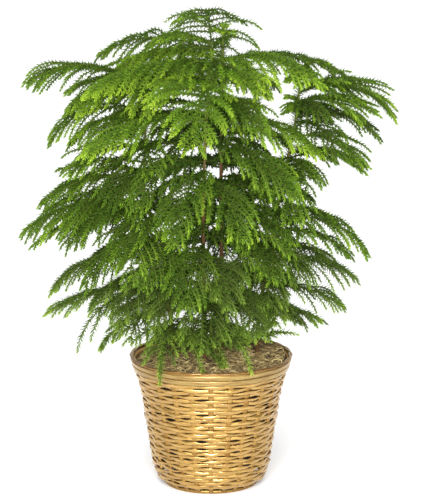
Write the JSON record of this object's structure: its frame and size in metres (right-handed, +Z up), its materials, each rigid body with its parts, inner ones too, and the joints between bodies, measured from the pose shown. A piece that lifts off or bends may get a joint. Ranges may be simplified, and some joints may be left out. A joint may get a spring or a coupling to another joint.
{
  "type": "potted norfolk island pine",
  "caption": "Potted Norfolk Island pine: slender stems with arching, needle-covered fronds in a nursery pot, dressed with moss, inside a gold-painted woven basket.",
  "frame": {"origin": "centre of the basket's underside, on the floor", "axes": "+Z up, +Y to the back of the plant, +X to the right seen from the front"},
  "size_m": [0.5148, 0.3988, 0.6368],
  "materials": {
    "cane": "satin",
    "pot": "satin",
    "soil": "matte",
    "moss": "matte",
    "bark": "matte",
    "foliage": "satin"
  },
  "bodies": {
    "root": {"basket_frame": "cane", "weaver_01": "cane", "weaver_02": "cane", "weaver_03": "cane", "weaver_04": "cane", "weaver_05": "cane", "weaver_06": "cane", "weaver_07": "cane", "weaver_08": "cane", "weaver_09": "cane", "weaver_10": "cane", "weaver_11": "cane", "weaver_12": "cane", "weaver_13": "cane", "weaver_14": "cane", "rim_outer_band": "cane", "rim_inner_band": "cane", "rim_border": "cane", "grow_pot": "pot", "potting_soil": "soil", "moss_mulch": "moss", "trunk_a": "bark", "trunk_b": "bark", "trunk_c": "bark", "trunk_d": "bark", "frond_a_01": "foliage", "frond_a_02": "foliage", "frond_a_03": "foliage", "frond_a_04": "foliage", "frond_a_05": "foliage", "frond_a_06": "foliage", "frond_a_07": "foliage", "frond_a_08": "foliage", "frond_a_09": "foliage", "frond_a_10": "foliage", "frond_a_11": "foliage", "frond_b_01": "foliage", "frond_b_02": "foliage", "frond_b_03": "foliage", "frond_b_04": "foliage", "frond_b_05": "foliage", "frond_b_06": "foliage", "frond_b_07": "foliage", "frond_b_08": "foliage", "frond_c_01": "foliage", "frond_c_02": "foliage", "frond_c_03": "foliage", "frond_c_04": "foliage", "frond_c_05": "foliage", "frond_c_06": "foliage", "frond_c_07": "foliage", "frond_c_08": "foliage", "frond_c_09": "foliage", "frond_d_01": "foliage", "frond_d_02": "foliage", "frond_d_03": "foliage", "frond_d_04": "foliage", "frond_d_05": "foliage", "frond_d_06": "foliage", "frond_d_07": "foliage"}
  },
  "joints": []
}
